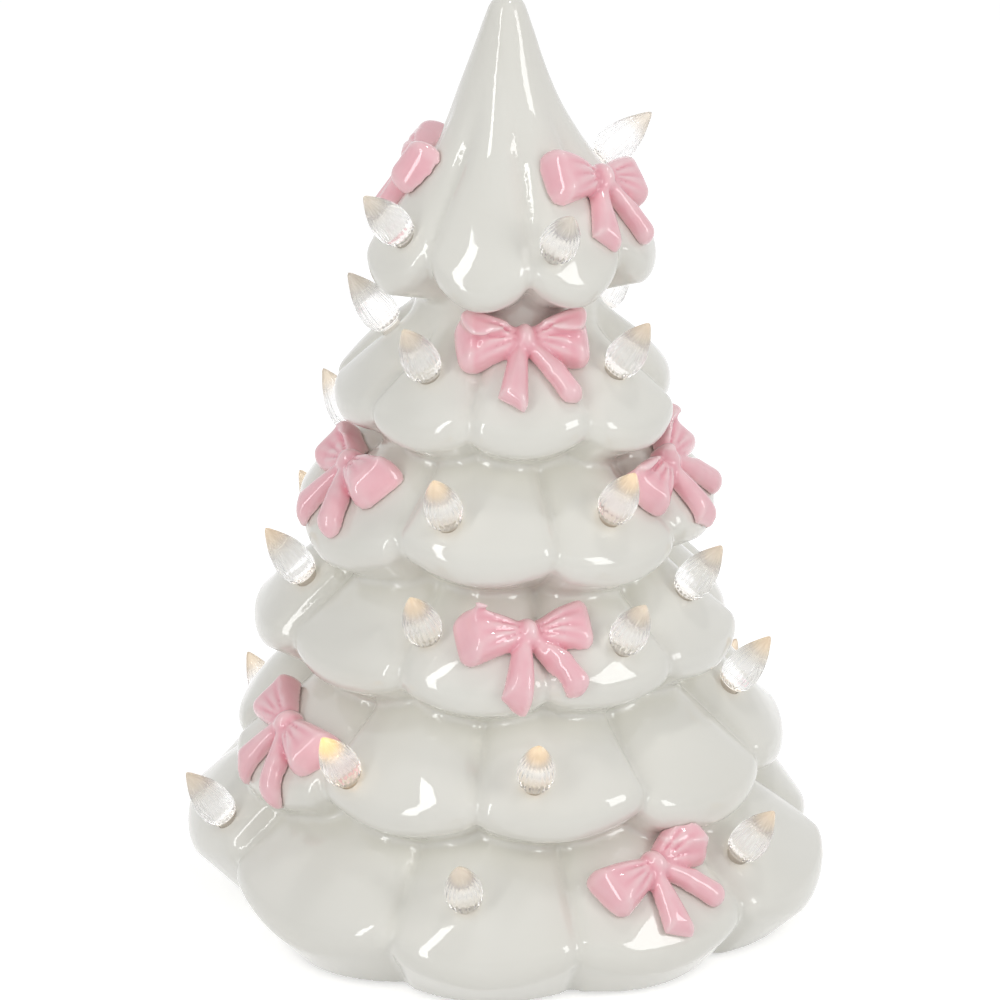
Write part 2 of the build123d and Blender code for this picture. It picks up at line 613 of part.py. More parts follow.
def led_board():
    """Lamp board, screwed to its posts."""
    board = block(BOARD_LENGTH, BOARD_WIDTH, BOARD_BOTTOM, BOARD_TOP, 0, BAY_CENTRE_Y)
    holes = [
        upright_cylinder(SCREW_RADIUS + SCREW_CLEARANCE, BOARD_BOTTOM, BOARD_TOP, x, y) for x, y in post_places()
    ]
    return board.cut(*holes)


def board_screws():
    """Two screws of the lamp board."""
    screws = []
    for x, y in post_places():
        shank = upright_cylinder(SCREW_RADIUS, BOARD_TOP - SCREW_LENGTH, BOARD_TOP, x, y)
        head = upright_cylinder(SCREW_HEAD_RADIUS, BOARD_TOP, BOARD_TOP + SCREW_HEAD_HEIGHT, x, y)
        screws.append(shank.fuse(head))
    return Compound(screws)


def leds():
    """Four domed lamps on the board."""
    top = LAMP_BODY_HEIGHT
    slope = LAMP_RADIUS * sin(radians(45))
    lamp = round_body((
        ((0, 0), (LAMP_FLANGE_RADIUS, 0)),
        ((LAMP_FLANGE_RADIUS, 0), (LAMP_FLANGE_RADIUS, LAMP_FLANGE_HEIGHT)),
        ((LAMP_FLANGE_RADIUS, LAMP_FLANGE_HEIGHT), (LAMP_RADIUS, LAMP_FLANGE_HEIGHT)),
        ((LAMP_RADIUS, LAMP_FLANGE_HEIGHT), (LAMP_RADIUS, top)),
        ((LAMP_RADIUS, top), (slope, top + slope), (0, top + LAMP_RADIUS)),
        ((0, top + LAMP_RADIUS), (0, 0)),
    ))
    return Compound([
        Pos(i * LAMP_SPACING_X / 2, BAY_CENTRE_Y + j * LAMP_SPACING_Y / 2, BOARD_TOP) * lamp
        for i in (-1, 1) for j in (-1, 1)
    ])


def wire_battery():
    """Two short leads from the bay's roof to the underside of the board."""
    y = BAY_CENTRE_Y
    return Compound([
        upright_cylinder(WIRE_RADIUS, ROOF_TOP, BOARD_BOTTOM, side * WIRE_SPACING / 2, y) for side in (-1, 1)
    ])


def wire_switch():
    """Two leads that arch from the switch to the top of the board."""
    switch_top = PLATE_TOP + SWITCH_HEIGHT
    crest = switch_top + WIRE_RISE
    board_y = BAY_CENTRE_Y + BOARD_WIDTH / 2 - 2 * WIRE_RADIUS
    wires = []
    for side in (-1, 1):
        x = side * WIRE_SPACING / 2
        route = FilletPolyline(
            (x, SWITCH_Y, switch_top), (x, SWITCH_Y, crest), (x, board_y, crest), (x, board_y, BOARD_TOP),
            radius=WIRE_BEND,
        )
        section = Plane(origin=route @ 0, z_dir=route % 0) * Circle(WIRE_RADIUS)
        wires.append(sweep(section, path=route))
    return Compound(wires)


def build():
    """Every node of the tree, by name."""
    seats = bulb_seats()
    nodes = {"tree_shell": tree_shell(seats)}
    for number, bow in enumerate(bows_in_place(), start=1):
        nodes[f"bow_{number:02d}"] = bow
    bulb = bulb_solid()
    for number, seat in enumerate(seats, start=1):
        nodes[f"bulb_{number:02d}"] = seat.location * bulb
    for piece in (
        base_plate, sealing_bead, battery_cover, battery_cells, contact_plates, contact_springs, switch_housing,
        switch_slider, led_board, board_screws, leds, wire_battery, wire_switch, foot_pads,
    ):
        nodes[piece.__name__] = piece()
    return nodes


os.makedirs("parts", exist_ok=True)
for name, shape in build().items():
    export_step(shape, f"parts/{name}.step")
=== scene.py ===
import json
from math import cos, pi, radians, sin, tan

import bpy
import numpy as np
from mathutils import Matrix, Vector


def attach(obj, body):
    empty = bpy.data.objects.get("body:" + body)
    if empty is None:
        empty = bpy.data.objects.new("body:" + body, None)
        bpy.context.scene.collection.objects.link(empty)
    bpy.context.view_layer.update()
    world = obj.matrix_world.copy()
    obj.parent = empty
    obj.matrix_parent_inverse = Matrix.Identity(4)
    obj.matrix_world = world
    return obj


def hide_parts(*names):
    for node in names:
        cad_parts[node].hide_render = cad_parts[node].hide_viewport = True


# Ceramic christmas tree: white glazed body, pink glazed bows, clear fluted bulbs.
# Shapes are worked out in millimetres and made in metres. A bearing is an angle round the tree:
# 0 at the front (-Y), positive to the viewer's right.

MM = 0.001
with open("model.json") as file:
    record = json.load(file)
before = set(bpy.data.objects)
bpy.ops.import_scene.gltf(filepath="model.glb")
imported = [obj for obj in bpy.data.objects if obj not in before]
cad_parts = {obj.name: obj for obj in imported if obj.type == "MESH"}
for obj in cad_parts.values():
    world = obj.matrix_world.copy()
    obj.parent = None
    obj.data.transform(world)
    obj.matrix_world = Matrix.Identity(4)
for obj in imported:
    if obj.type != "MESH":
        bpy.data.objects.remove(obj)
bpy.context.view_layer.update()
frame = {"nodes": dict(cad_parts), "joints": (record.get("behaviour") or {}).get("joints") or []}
nodes = frame["nodes"]

# Ceramic body
WALL = 5.0
HOLLOW_SPREAD = 3
HOLLOW_TOP = 202.0
GLAZE_BLEND = 1.2
APEX_HEIGHT = 217.8
APEX_RADIUS = 4.5
APEX_HALF_ANGLE = radians(19.2)
TIP_LENGTH = 30.8
NECK_HEIGHT = APEX_HEIGHT - TIP_LENGTH
CORE_HALF_ANGLE = radians(9.5)
EDGE_RADIUS = 4.4
BOUGH_DEPTH = 26.0
FOOT_HEIGHT = 1.0
FLOOR_TOP = 7.0
LEDGE_BOTTOM = 5.0
LEDGE_RADIUS = 45.0
REBATE_RADIUS = 48.0
ROUND_SIDES = 128
# Grid on which the skin is found, how far the grid runs past the body, and the depth that it tells apart
SKIN_STEP = 1.05
GRID_HALF = 84.0
GRID_MARGIN = 4.0
DEPTH_LIMIT = 40.0
HOLLOW_STEP = 4.0
HOLLOW_POINTS = 100
# Start of every search inwards to the body
FAR_RADIUS = 150.0
# Heights of the two slow waves left by trimming and sponging
CROSS_WAVE = 0.16
LONG_WAVE = 0.12
# A point is in a crease where the body is near above it
CREASE_LIFT = 3.0
CREASE_RANGE = 2.4
SHARP_ANGLE = radians(62)
# A direction that no bulb follows
SKEW = (0.31, 0.83, 0.47)

# Each tier of boughs: tip radius, tip height, length from the tip to the crest, rise of a bough's axis,
# height of its domed crest, undercut of its lip, roundness of its lip, and the bearings of the boughs
TIERS = (
    (33.8, 156.5, 13.5, 36.0, 2.4, 22.0, 0.055, (-58, -11, 31, 77, 123, 167, 212, 264)),
    (40.0, 124.0, 17.0, 52.0, 3.4, 26.0, 0.026, (-73, -33, 7, 52, 92, 130, 169, 208, 248)),
    (48.0, 96.5, 20.0, 52.0, 4.4, 26.0, 0.020, (-100, -58, -6, 35, 76, 114, 154, 194, 228)),
    (55.0, 68.0, 20.5, 52.0, 4.6, 26.0, 0.018, (-85, -47, -7, 27, 62, 98, 133, 169, 204, 240)),
    (63.5, 40.5, 21.5, 52.0, 5.2, 26.0, 0.017, (-98, -62, -24, 11, 51, 86, 121, 156, 191, 227)),
    (75.0, 15.0, 22.5, 52.0, 5.6, 6.0, 0.015, (-84, -39, -4, 30, 66, 105, 138, 171, 206, 240)),
)
# The boughs are made by hand and differ: extra tip radius and tip height, by tier and bough
UNEVEN = {
    (0, 7): (-3.0, 0.0), (1, 3): (1.5, -2.0), (1, 4): (-2.5, 2.0), (2, 1): (1.0, -2.5), (2, 3): (0.0, -2.5),
    (3, 0): (4.0, 0.0), (3, 5): (-4.0, 0.0), (4, 1): (2.0, -3.0), (4, 4): (1.0, -4.0), (4, 5): (1.5, -2.5),
    (5, 0): (0.5, 1.5), (5, 1): (0.0, -3.0), (5, 2): (0.0, -5.0), (5, 3): (0.0, -5.0), (5, 4): (1.5, -5.0),
    (5, 5): (-3.5, -1.0), (5, 7): (0.0, -3.0), (5, 8): (0.0, -3.0),
}
BOUGH_OVERLAP = 0.9
BOUGH_REACH = 40.0

# Bulbs
BULB_LENGTH = 16.2
PEG_LENGTH = 8.0
HOLE_RADIUS = 2.7
HOLE_DEPTH = 14.0
HOLE_RELIEF = 6.0
BULB_COUNT = 32
HOLE_SIDES = 28
FLUTES = 20
FLUTE_DEPTH = 0.34
# Heights between which the flutes come in and fade out, and what is left of them at the tip
FLUTE_START = (1.0, 2.6)
FLUTE_END = (9.0, 15.4)
FLUTE_LEFT = 0.1
# Height and radius along the turned form, from the peg to the tip
BULB_PROFILE = (
    (-PEG_LENGTH, 2.2), (-7.4, 2.5), (0.7, 2.5), (0.9, 2.9), (1.3, 3.55), (2.6, 4.05), (4.4, 4.38),
    (6.2, 4.32), (8.4, 3.9), (10.6, 3.18), (12.6, 2.28), (14.4, 1.35), (15.6, 0.66), (16.05, 0.3),
    (BULB_LENGTH, 0.05),
)
PROFILE_SPAN = 5.0
BULB_RINGS = 74
BULB_SIDES = 80
# How strongly each bulb glows
GLOWS = (
    0.05, 0.15, 0.1, 0.3, 0.1, 0.3, 0.35, 0.3, 0.3, 0.25, 0.6, 0.65, 0.4, 0.4, 0.3, 0.4,
    0.55, 0.35, 0.4, 0.4, 0.4, 0.45, 1.0, 0.7, 0.4, 0.4, 0.25, 0.4, 0.35, 0.35, 0.4, 0.35,
)

# Bows: bearing, height and roll of each
BOWS = (
    (-98, 178, 5), (62, 177, -20), (9, 143, 0), (172, 137, 5),
    (-66, 110, -3), (67, 111, 14), (5, 81, 8), (172, 80, -6),
    (-59, 52, -13), (135, 51, 15), (31, 28, 18), (205, 27, -10),
)
# Grid of a bow, in its own coordinates: right, up and out, with the knot at the middle
BOW_LOW = (-18.5, -21.5, -9.0)
BOW_HIGH = (18.5, 10.5, 10.0)
BOW_STEP = 0.5
# Gap to the glaze, how closely a bow follows the boughs, and how far it climbs and sags to do so
BOW_GAP = 0.15
BOW_FOLLOW = 0.8
BOW_CLIMB = 1.5
BOW_SAG = 5.0
BOW_REACH = 62.0
BOW_MIDDLE = 1.0
KNOT = (2.7, 3.7, 4.6)
KNOT_RISE = 0.2
# A loop: where it starts and ends, half width at the knot and what it gains, rounding, thickness and swell
LOOP_START = 0.6
LOOP_END = 15.2
LOOP_HALF = 2.6
LOOP_GAIN = 3.9
LOOP_CORNER = 2.6
LOOP_EDGE = 3.0
LOOP_THICK = 2.7
LOOP_SWELL = 1.9
# Folds that run out from the knot: turn and spread in degrees, and strength
LOOP_FOLDS = ((15.0, 4.0, 1.0), (-3.0, 3.5, 0.8), (-19.0, 4.0, 1.0))
FOLD_DEPTH = 0.20
FOLD_END = 12.5
FOLD_FADE = 7.0
# Tails: start, end, and half width at both
LEFT_TAIL = ((-1.4, -1.6), (-4.4, -15.0), 2.0, 3.5)
RIGHT_TAIL = ((1.2, -1.4), (6.2, -7.6), 1.9, 2.6)
RIGHT_TAIL_END = ((6.2, -7.6), (9.0, -12.6), 2.6, 2.9)
TAIL_CUT = (-0.62, -0.78, 0.8)
LEFT_TAIL_FORM = (3.0, 2.4)
RIGHT_TAIL_FORM = (3.1, 2.3)

# Studio: light of the surroundings and of the floor, then the lamps and the camera, which are placed in metres
FILL_LIGHT = 0.48
FLOOR_GLEAM = 0.55
FLOOR_HALF = 6000
# Place, width, height and power of each soft box
LAMPS = {
    "left_strip": ((-0.62, -0.80, 0.50), 0.15, 1.2, 3.0),
    "right_box": ((0.80, -0.62, 0.52), 0.32, 0.58, 2.5),
    "top_box": ((0.25, 0.0, 1.3), 0.12, 0.12, 1.3),
}
LAMP_AIM = (0.0, 0.0, 0.1)
CAMERA_RISE = radians(20.0)
CAMERA_AWAY = 1.1
CAMERA_AIM_HEIGHT = 0.105
CAMERA_SENSOR = 36.0
CAMERA_LENS = 170.7
CAMERA_SHIFT = (-0.007, -0.032)


def linear(hex_colour, alpha=1.0):
    """Linear colour of an sRGB hex value."""
    parts = [int(hex_colour[place:place + 2], 16) / 255 for place in (1, 3, 5)]
    return (*[part / 12.92 if part <= 0.04045 else ((part + 0.055) / 1.055) ** 2.4 for part in parts], alpha)


def add(tree, kind, inputs=None, **settings):
    """A node of a tree, with its settings, and its inputs as values or links."""
    made = tree.nodes.new(kind)
    for name, value in settings.items():
        setattr(made, name, value)
    for socket, value in (inputs or {}).items():
        if isinstance(value, bpy.types.NodeSocket):
            tree.links.new(value, made.inputs[socket])
        else:
            made.inputs[socket].default_value = value
    return made


def maths(tree, operation, *values):
    """Result of a Math node."""
    return add(tree, "ShaderNodeMath", dict(enumerate(values)), operation=operation).outputs[0]


def ranged(tree, value, start, end, low, high, curve="LINEAR"):
    """A value taken from one range to another."""
    return add(tree, "ShaderNodeMapRange", {
        "Value": value, "From Min": start, "From Max": end, "To Min": low, "To Max": high,
    }, interpolation_type=curve).outputs[0]


def blended(tree, share, first, second):
    """A colour between two others."""
    return add(tree, "ShaderNodeMix", {0: share, 6: first, 7: second}, data_type="RGBA").outputs[2]


def background_rays(tree):
    """1 for the rays that show the white background: seen, mirrored or through a clear piece."""
    path = add(tree, "ShaderNodeLightPath").outputs
    seen = maths(tree, "MAXIMUM", path["Is Camera Ray"], path["Is Transmission Ray"])
    return maths(tree, "MAXIMUM", seen, path["Is Glossy Ray"])


def new_material(name):
    """An empty node material, with its tree."""
    material = bpy.data.materials.new(name)
    material.use_nodes = True
    material.node_tree.nodes.clear()
    return material, material.node_tree


def finish_material(tree, shader):
    """Joins a shader to the material's output."""
    add(tree, "ShaderNodeOutputMaterial", {"Surface": shader.outputs[0]})


# Shapes of the ceramic body

def bough_frames():
    """Tip, outward and sideways directions, half angles to the neighbours, and form of every bough."""
    frames = []
    for tier, (tip_r, tip_z, length, rise, crest, undercut, lip, bearings) in enumerate(TIERS):
        for place, bearing in enumerate(bearings):
            extra_r, extra_z = UNEVEN.get((tier, place), (0.0, 0.0))
            out = np.array([sin(radians(bearing)), -cos(radians(bearing)), 0.0])
            side = np.array([cos(radians(bearing)), sin(radians(bearing)), 0.0])
            before = (bearing - bearings[place - 1]) % 360 / 2
            after = (bearings[(place + 1) % len(bearings)] - bearing) % 360 / 2
            tip = (tip_r + extra_r - EDGE_RADIUS, tip_z + extra_z)
            halves = (tan(radians(before)), tan(radians(after)))
            form = (length - EDGE_RADIUS, radians(rise), crest, tan(radians(undercut)), lip)
            frames.append((tip, out, side, halves, form))
    return frames


BOUGHS = bough_frames()


def bough_distance(points, bough):
    """Distance to a bough: a pillow between its neighbours, with a domed top and a rounded lip."""
    (tip_r, tip_z), out, side, (left, right), (length, rise, crest, undercut, lip) = bough
    reach = points @ out
    across = points @ side
    half = np.where(across < 0.0, left, right)
    width = np.abs(across)
    above = (reach - tip_r) * cos(rise) + (points[..., 2] - tip_z) * sin(rise)
    uphill = (points[..., 2] - tip_z) * cos(rise) - (reach - tip_r) * sin(rise)
    to_side = (width - reach * half) / np.sqrt(1.0 + half ** 2) - BOUGH_OVERLAP + EDGE_RADIUS
    arch = np.clip(1.0 - (width / np.maximum(reach * half, EDGE_RADIUS)) ** 2, 0.0, 1.0)
    arch = arch * np.clip(1.0 - (np.maximum(length - uphill, 0.0) / (length + EDGE_RADIUS)) ** 2, 0.0, 1.0)
    to_top = above - crest * arch
    to_lip = lip * width ** 2 - uphill + undercut * np.maximum(-above, 0.0)
    parts = np.stack([to_top, to_lip, to_side])
    rounded = np.sqrt((np.maximum(parts, 0.0) ** 2).sum(axis=0)) - EDGE_RADIUS
    return np.maximum(rounded + np.minimum(parts.max(axis=0), 0.0), -(above + BOUGH_DEPTH))


def core_distance(points):
    """Distance to the plain cone that carries the boughs and ends in the rounded tip."""
    radius = np.hypot(points[..., 0], points[..., 1])
    height = points[..., 2]
    ball_height = APEX_HEIGHT - APEX_RADIUS
    lift = height - ball_height
    neck_radius = (APEX_RADIUS + (ball_height - NECK_HEIGHT) * sin(APEX_HALF_ANGLE)) / cos(APEX_HALF_ANGLE)
    on_cone = radius * cos(APEX_HALF_ANGLE) + lift * sin(APEX_HALF_ANGLE) - APEX_RADIUS
    on_ball = np.hypot(radius, lift) - APEX_RADIUS
    on_tip = np.where(lift * cos(APEX_HALF_ANGLE) > radius * sin(APEX_HALF_ANGLE), on_ball, on_cone)
    on_trunk = (radius - neck_radius) * cos(CORE_HALF_ANGLE) + (height - NECK_HEIGHT) * sin(CORE_HALF_ANGLE)
    return np.maximum(on_tip, on_trunk)


def body_distance(points, boughs=BOUGHS):
    """Distance to the body, with its creases softened by the glaze."""
    each = np.stack([core_distance(points)] + [bough_distance(points, bough) for bough in boughs])
    nearest = each.min(axis=0)
    return nearest - GLAZE_BLEND * np.log(np.exp((nearest - each) / GLAZE_BLEND).sum(axis=0))


def bough_middle(bough):
    """A point in the middle of a bough."""
    (tip_r, tip_z), out, side, halves, (length, rise, crest, undercut, lip) = bough
    return (tip_r - length * sin(rise)) * out + np.array([0.0, 0.0, tip_z + length * cos(rise)])


def body_field(low, high, step):
    """Distance to the body on a grid of points, with the grid's axes."""
    axes = [np.arange(low[i], high[i] + step, step) for i in range(3)]
    grid = np.stack(np.meshgrid(*axes, indexing="ij"), axis=-1)
    total = np.exp(-np.maximum(core_distance(grid), -DEPTH_LIMIT) / GLAZE_BLEND)
    for bough in BOUGHS:
        centre = bough_middle(bough)
        first = [max(int((centre[i] - BOUGH_REACH - low[i]) / step), 0) for i in range(3)]
        last = [max(int((centre[i] + BOUGH_REACH - low[i]) / step), 0) for i in range(3)]
        part = tuple(slice(a, b) for a, b in zip(first, last))
        near = np.maximum(bough_distance(grid[part], bough), -DEPTH_LIMIT)
        total[part] += np.exp(-near / GLAZE_BLEND)
    return -GLAZE_BLEND * np.log(np.maximum(total, 1e-30)), grid


def skin(values, low, step):
    """Closed mesh of quads where a field on a grid turns from inside to outside."""
    inside = values < 0.0
    sizes = [size - 1 for size in values.shape]
    count = np.zeros(sizes, dtype=np.int8)
    for corner in np.ndindex(2, 2, 2):
        count += inside[tuple(slice(first, first + size) for first, size in zip(corner, sizes))]
    mixed = (count > 0) & (count < 8)
    cells = np.argwhere(mixed)
    index = np.full(count.shape, -1, dtype=np.int64)
    index[mixed] = np.arange(len(cells))
    total = np.zeros((len(cells), 3))
    hits = np.zeros(len(cells))
    quads = []
    for axis in range(3):
        one, two = (axis + 1) % 3, (axis + 2) % 3
        ahead = np.eye(3, dtype=np.int64)[axis]
        for i in (0, 1):
            for j in (0, 1):
                corner = np.zeros(3, dtype=np.int64)
                corner[one], corner[two] = i, j
                start = values[tuple((cells + corner).T)]
                end = values[tuple((cells + corner + ahead).T)]
                crossed = (start < 0.0) != (end < 0.0)
                share = start[crossed] / (start[crossed] - end[crossed])
                total[crossed] += corner + share[:, None] * ahead
                hits[crossed] += 1
        near = np.moveaxis(inside, (axis, one, two), (0, 1, 2))
        edges = np.argwhere(near[:-1, 1:-1, 1:-1] != near[1:, 1:-1, 1:-1])
        leaving = near[:-1, 1:-1, 1:-1][tuple(edges.T)]
        turned = np.moveaxis(index, (axis, one, two), (0, 1, 2))
        level, row, column = edges.T
        corners = ((0, 0), (1, 0), (1, 1), (0, 1))
        ring = np.stack([turned[level, row + i, column + j] for i, j in corners], axis=1)
        quads.append(np.where(leaving[:, None], ring, ring[:, ::-1]))
    points = np.asarray(low) + step * (cells + total / hits[:, None])
    return points, np.concatenate(quads)


def relaxed(points, quads):
    """Each point moved to the middle of its neighbours."""
    total = np.zeros_like(points)
    count = np.zeros(len(points))
    for side in range(4):
        start, end = quads[:, side], quads[:, (side + 1) % 4]
        for a, b in ((start, end), (end, start)):
            count += np.bincount(a, minlength=len(points))
            for i in range(3):
                total[:, i] += np.bincount(a, weights=points[b, i], minlength=len(points))
    return total / count[:, None]


def point_normals(points, quads):
    """Outward direction at each point of a mesh of quads."""
    faces = np.cross(points[quads[:, 2]] - points[quads[:, 0]], points[quads[:, 3]] - points[quads[:, 1]])
    total = np.zeros_like(points)
    for side in range(4):
        for i in range(3):
            total[:, i] += np.bincount(quads[:, side], weights=faces[:, i], minlength=len(points))
    return total / np.maximum(np.linalg.norm(total, axis=1), 1e-9)[:, None]


def mesh_object(name, points, faces, smooth=True):
    """A mesh object from points in millimetres."""
    mesh = bpy.data.meshes.new(name)
    mesh.from_pydata((np.asarray(points) * MM).tolist(), [], np.asarray(faces).tolist())
    mesh.polygons.foreach_set("use_smooth", [smooth] * len(mesh.polygons))
    made = bpy.data.objects.new(name, mesh)
    bpy.context.scene.collection.objects.link(made)
    return made


def plain_mesh(source, name):
    """The object with its modifiers applied, as a new plain mesh object."""
    graph = bpy.context.evaluated_depsgraph_get()
    mesh = bpy.data.meshes.new_from_object(source.evaluated_get(graph))
    mesh.name = name
    made = bpy.data.objects.new(name, mesh)
    bpy.context.scene.collection.objects.link(made)
    return made


def discard(thing):
    """Removes an object that was only a tool, with its mesh."""
    mesh = thing.data
    bpy.data.objects.remove(thing)
    bpy.data.meshes.remove(mesh)


def prism(start, axis, radius, length, sides):
    """Points and faces of a closed round bar from start along axis."""
    axis = np.asarray(axis, dtype=float)
    side = np.cross(axis, SKEW)
    side /= np.linalg.norm(side)
    other = np.cross(axis, side)
    turns = np.arange(sides) * 2 * pi / sides
    ring = radius * (np.cos(turns)[:, None] * side + np.sin(turns)[:, None] * other)
    points = np.concatenate([start + ring, start + length * axis + ring])
    faces = [[i, (i + 1) % sides, sides + (i + 1) % sides, sides + i] for i in range(sides)]
    return points, faces + [list(range(sides))[::-1], list(range(sides, 2 * sides))]


def joined(name, solids):
    """One object from several points and faces."""
    points, faces = [], []
    for some_points, some_faces in solids:
        faces += [[corner + len(points) for corner in face] for face in some_faces]
        points += list(some_points)
    made = bpy.data.meshes.new(name)
    made.from_pydata([tuple(point * MM) for point in points], [], faces)
    thing = bpy.data.objects.new(name, made)
    bpy.context.scene.collection.objects.link(thing)
    return thing


def hand_wobble(points):
    """Slow unevenness of a surface that was trimmed and sponged by hand."""
    x, y, z = points[..., 0], points[..., 1], points[..., 2]
    cross = np.sin(x / 7.3 + 0.6) * np.sin(y / 6.1 + z / 9.7)
    along = np.sin(z / 5.3 + x / 11.0 - y / 8.0)
    return CROSS_WAVE * cross + LONG_WAVE * along


def bulb_seats():
    """Seat and axis of each bulb, from its joint and the tip of its solid."""
    axes = {joint["child"]: np.array(joint["axis"], dtype=float) for joint in frame["joints"]}
    seats = {}
    for number in range(1, BULB_COUNT + 1):
        name = f"bulb_{number:02d}"
        mesh = nodes[name].data
        flat = np.empty(3 * len(mesh.vertices))
        mesh.vertices.foreach_get("co", flat)
        points = flat.reshape(-1, 3) / MM
        axis = axes[name] / np.linalg.norm(axes[name])
        tip = points[np.argmax(points @ axis)]
        seats[name] = (tip - BULB_LENGTH * axis, axis)
    return seats


def spread(radii, combine):
    """Each radius combined with its neighbours round the tree."""
    shifts = range(-HOLLOW_SPREAD, HOLLOW_SPREAD + 1)
    return combine(np.stack([np.roll(radii, shift, axis=1) for shift in shifts]), axis=0)


def hollow_form():
    """Points and faces of the hollow, which follows the boughs smoothly and keeps a whole wall in creases."""
    count = HOLLOW_POINTS
    heights = np.linspace(FLOOR_TOP, HOLLOW_TOP, int((HOLLOW_TOP - FLOOR_TOP) / HOLLOW_STEP))
    turns, levels = np.meshgrid(2 * pi * np.arange(count) / count, heights)
    radii = np.full(turns.shape, FAR_RADIUS)
    for _ in range(40):
        radii -= body_distance(np.stack([radii * np.sin(turns), -radii * np.cos(turns), levels], axis=-1))
    radii = spread(spread(radii, np.min), np.mean)
    radii = np.minimum(radii, np.minimum(np.roll(radii, 1, axis=0), np.roll(radii, -1, axis=0)))
    radii = np.maximum(radii - WALL, 1.0)
    points = np.stack([radii * np.sin(turns), -radii * np.cos(turns), levels], axis=-1).reshape(-1, 3)
    faces = [list(range(count))[::-1], list(range(len(points) - count, len(points)))]
    for row in range(len(heights) - 1):
        for place in range(count):
            start, end = row * count + place, row * count + (place + 1) % count
            faces.append([start, end, end + count, start + count])
    return points, faces


def ceramic_body(seats):
    """The hollow body: outer skin, inner wall, ledge, rebate and a hole for each bulb."""
    low = (-GRID_HALF, -GRID_HALF, FOOT_HEIGHT - GRID_MARGIN)
    high = (GRID_HALF, GRID_HALF, APEX_HEIGHT + GRID_MARGIN)
    values, grid = body_field(low, high, SKIN_STEP)
    values = np.maximum(values, FOOT_HEIGHT - grid[..., 2])
    points, quads = skin(values, low, SKIN_STEP)
    points = 0.5 * points + 0.5 * relaxed(points, quads)
    for _ in range(3):
        off = body_distance(points) + hand_wobble(points)
        off = np.maximum(off, FOOT_HEIGHT - points[:, 2])
        points = points - np.clip(off, -1.0, 1.0)[:, None] * point_normals(points, quads)
    outer = mesh_object("outer_skin", points, quads)

    hollow = joined("hollow", [hollow_form()])
    up = (0.0, 0.0, 1.0)
    opening = joined("opening", [prism(np.zeros(3), up, LEDGE_RADIUS, FLOOR_TOP + 2.0, ROUND_SIDES)])
    rebate = joined("rebate", [prism(np.zeros(3), up, REBATE_RADIUS, LEDGE_BOTTOM, ROUND_SIDES)])
    drills = joined("drills", [
        prism(seat - HOLE_DEPTH * axis, axis, HOLE_RADIUS, HOLE_DEPTH + HOLE_RELIEF, HOLE_SIDES)
        for seat, axis in seats.values()
    ])
    tools = (hollow, opening, rebate, drills)
    for tool in tools:
        cut = outer.modifiers.new(tool.name, "BOOLEAN")
        cut.operation = "DIFFERENCE"
        cut.solver = "MANIFOLD"
        cut.object = tool
    body = plain_mesh(outer, "ceramic_body")
    for tool in (outer, *tools):
        discard(tool)
    mesh = body.data
    mesh.materials.clear()
    mesh.polygons.foreach_set("material_index", [0] * len(mesh.polygons))
    mesh.polygons.foreach_set("use_smooth", [True] * len(mesh.polygons))
    mesh.set_sharp_from_angle(angle=SHARP_ANGLE)
    flat = np.empty(3 * len(mesh.vertices))
    mesh.vertices.foreach_get("co", flat)
    points = flat.reshape(-1, 3) / MM
    mesh.vertices.foreach_get("normal", flat)
    # How deep each point lies in a crease; the white glaze greys the creases with it, partly as pooled glaze
    # and partly as painted shade.
    lifted = body_distance(points + CREASE_LIFT * flat.reshape(-1, 3))
    crease = np.clip((CREASE_LIFT - lifted) / CREASE_RANGE, 0.0, 1.0)
    mesh.attributes.new("crease", "FLOAT", "POINT").data.foreach_set("value", crease)
    return body


# Bows

def strip_distance(u, v, start, end, start_width, end_width):
    """Distance in the bow's plane to a tapered strip with round ends."""
    along = np.array(end) - np.array(start)
    share = np.clip(((u - start[0]) * along[0] + (v - start[1]) * along[1]) / (along @ along), 0.0, 1.0)
    width = start_width + (end_width - start_width) * share
    return np.hypot(u - start[0] - share * along[0], v - start[1] - share * along[1]) - width


def puffed(outline, height, round_edge, above):
    """Distance to a puffed slab from its outline's distance, its height and its rounded edge."""
    edge = np.maximum(outline + round_edge, 0.0) / round_edge
    return (np.sqrt(edge ** 2 + (above / height) ** 2) - 1.0) * np.minimum(round_edge, height)


def smooth_union(first, second, blend):
    """Distance to two joined forms with a filleted seam."""
    mix = np.clip(0.5 + 0.5 * (second - first) / blend, 0.0, 1.0)
    return second + (first - second) * mix - blend * mix * (1.0 - mix)


def loop_distance(u, v, above, side):
    """One loop: a pillow that fans out from the knot, with folds that run out from it."""
    s = side * u
    turn = np.degrees(np.arctan2(v - 0.4, np.maximum(s, 0.01)))
    half = LOOP_HALF + LOOP_GAIN * np.clip((s - 1.0) / 11.5, 0.0, 1.0) ** 0.8
    middle = 0.2 + 0.06 * s
    flank = (np.abs(v - middle) - half) * 0.94
    end = s - LOOP_END + 0.012 * (v - middle) ** 2
    rounded = np.hypot(np.maximum(flank + LOOP_CORNER, 0.0), np.maximum(end + LOOP_CORNER, 0.0)) - LOOP_CORNER
    outline = rounded + np.minimum(np.maximum(flank + LOOP_CORNER, end + LOOP_CORNER), 0.0)
    outline = np.maximum(outline, LOOP_START - s)
    folds = sum(strength * np.exp(-((turn - at) / wide) ** 2) for at, wide, strength in LOOP_FOLDS)
    fade = np.clip((FOLD_END - s) / FOLD_FADE, 0.0, 1.0)
    swell = LOOP_THICK + LOOP_SWELL * np.sin(np.clip((s - 1.0) / 14.0, 0.0, 1.0) * pi * 0.72)
    return puffed(outline, swell * (1.0 - FOLD_DEPTH * folds * fade), LOOP_EDGE, above)


